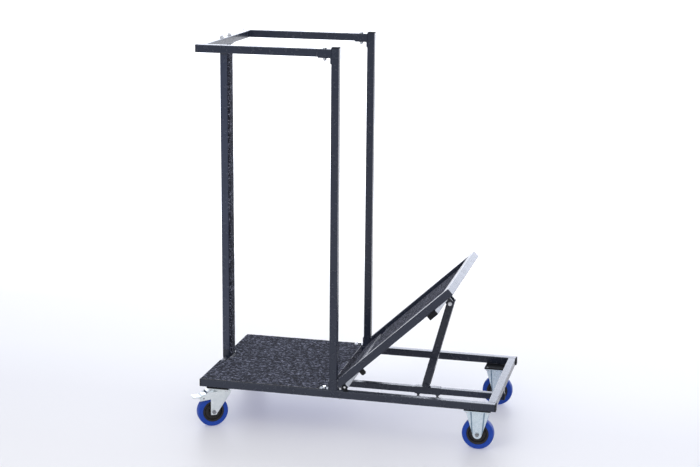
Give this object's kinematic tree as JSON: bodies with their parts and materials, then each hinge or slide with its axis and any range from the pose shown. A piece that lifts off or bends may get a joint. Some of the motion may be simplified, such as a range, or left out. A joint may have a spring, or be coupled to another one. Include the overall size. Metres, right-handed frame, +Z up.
{
  "type": "stacking chair trolley",
  "caption": "Wheeled square-tube trolley that carries a stack of chairs on a carpeted deck under a goal-shaped frame, with a tilting carpeted tray held by a strut on a sliding sleeve.",
  "frame": {"origin": "On the floor, under the middle of the bounding box.", "axes": "+X runs along the base from the deck to the open end, +Y runs across the base away from the near side, +Z is up."},
  "size_m": [1.2226, 0.6996, 1.5388],
  "materials": {
    "paint": "satin charcoal powder coat",
    "carpet": "charcoal needle-felt carpet",
    "bright_steel": "bright zinc-plated fasteners",
    "zinc": "blue-passivated zinc on pressed steel",
    "black_plastic": "moulded black plastic",
    "black_steel": "black paint",
    "rubber": "moulded black rubber",
    "tyre": "blue elastic rubber"
  },
  "bodies": {
    "base": {"side_rail_near": "paint", "side_rail_far": "paint", "end_cross_rail": "paint", "rear_cross_rail": "paint", "deck_cross_rail": "paint", "mid_cross_rail": "paint", "slider_rail": "paint", "rail_hangers": "paint", "tube_end_caps": "black_plastic", "deck_plate": "paint", "deck_carpet": "carpet", "post_near": "paint", "post_far": "paint", "back_post": "paint", "back_pad": "carpet", "top_bar_near": "paint", "top_bar_far": "paint", "top_cross_bar": "paint", "angle_brackets": "paint", "frame_bolts": "bright_steel", "hinge_plates": "black_steel", "hinge_pins": "bright_steel", "caster_mount_plates": "black_steel", "caster_bolts": "bright_steel", "fixed_fork_near": "zinc", "fixed_fork_far": "zinc", "fixed_axles": "bright_steel", "swivel_top_plates": "zinc"},
    "tray": {"tray_side_near": "paint", "tray_side_far": "paint", "tray_top_bar": "paint", "tray_panel": "paint", "tray_carpet": "carpet", "tray_cross_tube_upper": "paint", "tray_cross_tube_lower": "paint", "cross_tube_caps": "black_plastic", "rubber_buffers": "rubber", "strut_lug": "paint", "strut_bolt": "bright_steel"},
    "strut": {"strut_tube": "paint", "strut_fork": "paint"},
    "slider": {"slider_sleeve": "paint"},
    "screw_left": {"clamp_screw_left": "black_steel"},
    "screw_right": {"clamp_screw_right": "black_steel"},
    "swivel_near": {"swivel_fork_near": "zinc", "swivel_axle_near": "bright_steel"},
    "pedal_near": {"brake_pedal_near": "zinc"},
    "wheel_swivel_near": {"rim_swivel_near": "black_plastic", "tyre_swivel_near": "tyre"},
    "wheel_fixed_near": {"rim_fixed_near": "black_plastic", "tyre_fixed_near": "tyre"},
    "swivel_far": {"swivel_fork_far": "zinc", "swivel_axle_far": "bright_steel"},
    "pedal_far": {"brake_pedal_far": "zinc"},
    "wheel_swivel_far": {"rim_swivel_far": "black_plastic", "tyre_swivel_far": "tyre"},
    "wheel_fixed_far": {"rim_fixed_far": "black_plastic", "tyre_fixed_far": "tyre"}
  },
  "joints": [
    {"name": "tray_tilt", "type": "hinge", "parent": "base", "child": "tray", "pos_m": [0.01839, 0, 0.2152], "axis": [0, 1, 0], "range_deg": [0, 42]},
    {"name": "strut_head", "type": "hinge", "parent": "tray", "child": "strut", "pos_m": [0.37649, 0, 0.5005], "axis": [0, 1, 0], "range_deg": [0, 28]},
    {"name": "sleeve_slide", "type": "slide", "parent": "base", "child": "slider", "axis": [1, 0, 0], "range_m": [-0.168, 0]},
    {"name": "clamp_turn_left", "type": "hinge", "parent": "slider", "child": "screw_left", "pos_m": [0.25129, 0, 0.105], "axis": [0, 0, 1], "range_deg": [-360, 0]},
    {"name": "clamp_turn_right", "type": "hinge", "parent": "slider", "child": "screw_right", "pos_m": [0.33029, 0, 0.105], "axis": [0, 0, 1], "range_deg": [-360, 0]},
    {"name": "swivel_turn_near", "type": "hinge", "parent": "base", "child": "swivel_near", "pos_m": [-0.50071, -0.264, 0.15], "axis": [0, 0, 1], "continuous": true},
    {"name": "pedal_press_near", "type": "hinge", "parent": "swivel_near", "child": "pedal_near", "pos_m": [-0.56624, -0.30989, 0.124], "axis": [0.5736, -0.8192, 0], "range_deg": [0, 10]},
    {"name": "wheel_roll_swivel_near", "type": "hinge", "parent": "swivel_near", "child": "wheel_swivel_near", "pos_m": [-0.53183, -0.2858, 0.0625], "axis": [0.5736, -0.8192, 0], "continuous": true},
    {"name": "wheel_roll_fixed_near", "type": "hinge", "parent": "base", "child": "wheel_fixed_near", "pos_m": [0.53929, -0.264, 0.0625], "axis": [0, 1, 0], "continuous": true},
    {"name": "swivel_turn_far", "type": "hinge", "parent": "base", "child": "swivel_far", "pos_m": [-0.50071, 0.264, 0.15], "axis": [0, 0, 1], "continuous": true},
    {"name": "pedal_press_far", "type": "hinge", "parent": "swivel_far", "child": "pedal_far", "pos_m": [-0.56624, 0.30989, 0.124], "axis": [-0.5736, -0.8192, 0], "range_deg": [0, 10]},
    {"name": "wheel_roll_swivel_far", "type": "hinge", "parent": "swivel_far", "child": "wheel_swivel_far", "pos_m": [-0.53183, 0.2858, 0.0625], "axis": [-0.5736, -0.8192, 0], "continuous": true},
    {"name": "wheel_roll_fixed_far", "type": "hinge", "parent": "base", "child": "wheel_fixed_far", "pos_m": [0.53929, 0.264, 0.0625], "axis": [0, 1, 0], "continuous": true}
  ],
  "couplings": [
    {"joint": "strut_head", "follows": "tray_tilt", "ratio": 0.65579},
    {"joint": "sleeve_slide", "follows": "tray_tilt", "m_per_rad": -0.22885}
  ]
}
